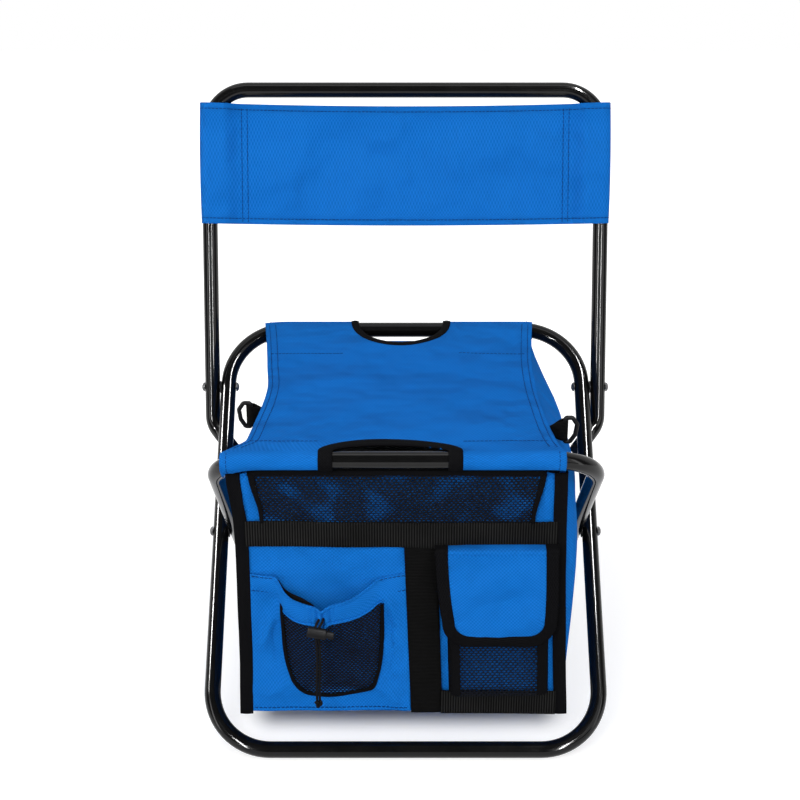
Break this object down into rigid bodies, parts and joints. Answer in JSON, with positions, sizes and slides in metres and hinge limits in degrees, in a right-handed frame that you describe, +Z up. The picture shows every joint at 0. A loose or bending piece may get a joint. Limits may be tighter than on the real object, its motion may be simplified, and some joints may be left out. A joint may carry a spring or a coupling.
{
  "type": "folding cooler stool",
  "caption": "Folding camp stool on crossed steel tube loops, with a folding cloth backrest and an insulated cooler bag with net and flap pockets hung under the seat.",
  "frame": {"origin": "on the floor, under the middle of the bounding box of everything but the cord", "axes": "+Z up, +X to the right of someone facing the stool, so -Y is the front with the pockets"},
  "size_m": [0.4374, 0.4128, 0.5835],
  "materials": {
    "black_tube": "gloss",
    "rivet_steel": "satin",
    "black_plastic": "satin",
    "blue_cloth": "woven",
    "black_webbing": "woven",
    "black_net": "net",
    "foil_liner": "foil"
  },
  "bodies": {
    "outer_frame": {"outer_leg_loop": "black_tube", "leg_pivot_rivet_left": "rivet_steel", "leg_pivot_rivet_right": "rivet_steel", "leg_pivot_washer_left": "black_plastic", "leg_pivot_washer_right": "black_plastic", "back_pivot_rivet_left": "rivet_steel", "back_pivot_rivet_right": "rivet_steel", "back_pivot_washer_left": "black_plastic", "back_pivot_washer_right": "black_plastic", "seat_rear_sleeve_left": "blue_cloth", "seat_rear_sleeve_right": "blue_cloth"},
    "inner_frame": {"inner_leg_loop": "black_tube", "seat_front_sleeve_left": "blue_cloth", "seat_front_sleeve_right": "blue_cloth"},
    "backrest": {"backrest_tube": "black_tube", "backrest_end_plug_left": "black_plastic", "backrest_end_plug_right": "black_plastic", "backrest_band": "blue_cloth"},
    "bag": {"seat_panel": "blue_cloth", "seat_front_binding": "black_webbing", "seat_rear_binding": "black_webbing", "bag_shell": "blue_cloth", "bag_liner": "foil_liner", "front_binding_left": "black_webbing", "front_binding_right": "black_webbing", "webbing_top": "black_webbing", "webbing_centre": "black_webbing", "webbing_bottom": "black_webbing", "net_pocket": "black_net", "net_pocket_elastic": "black_webbing", "flap_pocket_sides": "black_webbing", "flap_pocket_net": "black_net", "pocket_flap_root": "black_webbing", "drawstring_hem": "blue_cloth", "drawstring_net": "black_net", "cord_lock_body": "black_plastic", "drawstring_left": "black_webbing", "drawstring_right": "black_webbing", "drawstring_knot": "black_webbing", "strap_tab_left": "black_webbing", "strap_tab_right": "black_webbing", "zip_tape": "black_webbing"},
    "pocket_flap": {"pocket_flap": "blue_cloth", "pocket_flap_binding": "black_webbing"},
    "lock_plunger": {"cord_lock_plunger": "black_plastic"},
    "ring_left": {"strap_ring_left": "black_plastic"},
    "ring_right": {"strap_ring_right": "black_plastic"},
    "zip_slider": {"zip_slider": "rivet_steel"},
    "zip_pull": {"zip_pull": "rivet_steel"}
  },
  "joints": [
    {"name": "leg_fold", "type": "hinge", "parent": "outer_frame", "child": "inner_frame", "pos_m": [0, -0.00529, 0.16072], "axis": [1, 0, 0], "range_deg": [-88, 0], "deforming": ["seat_panel", "seat_front_binding", "seat_rear_binding"]},
    {"name": "bag_follow", "type": "hinge", "parent": "outer_frame", "child": "bag", "pos_m": [0, -0.00529, 0.16072], "axis": [1, 0, 0], "range_deg": [-44, 0]},
    {"name": "backrest_fold", "type": "hinge", "parent": "outer_frame", "child": "backrest", "pos_m": [0, 0.11435, 0.27282], "axis": [1, 0, 0], "range_deg": [0, 62]},
    {"name": "pocket_flap_lift", "type": "hinge", "parent": "bag", "child": "pocket_flap", "pos_m": [0.0895, -0.18389, 0.2317], "axis": [-1, 0, 0], "range_deg": [0, 130]},
    {"name": "strap_ring_left_swing", "type": "hinge", "parent": "bag", "child": "ring_left", "pos_m": [-0.14846, -0.06037, 0.32766], "axis": [0, 0, 1], "range_deg": [-75, 75]},
    {"name": "strap_ring_right_swing", "type": "hinge", "parent": "bag", "child": "ring_right", "pos_m": [0.14755, -0.10525, 0.32766], "axis": [0, 0, 1], "range_deg": [-75, 75]},
    {"name": "cord_lock_press", "type": "slide", "parent": "bag", "child": "lock_plunger", "axis": [-1, 0, 0], "range_m": [0, 0.003], "stiffness_N_per_m": 400},
    {"name": "zip_slide", "type": "slide", "parent": "bag", "child": "zip_slider", "axis": [1, 0, 0], "range_m": [-0.236, 0]},
    {"name": "zip_pull_swing", "type": "hinge", "parent": "zip_slider", "child": "zip_pull", "pos_m": [0.118, 0.16871, 0.28104], "axis": [1, 0, 0], "range_deg": [0, 150]}
  ],
  "couplings": [
    {"joint": "bag_follow", "follows": "leg_fold", "ratio": 0.5}
  ]
}
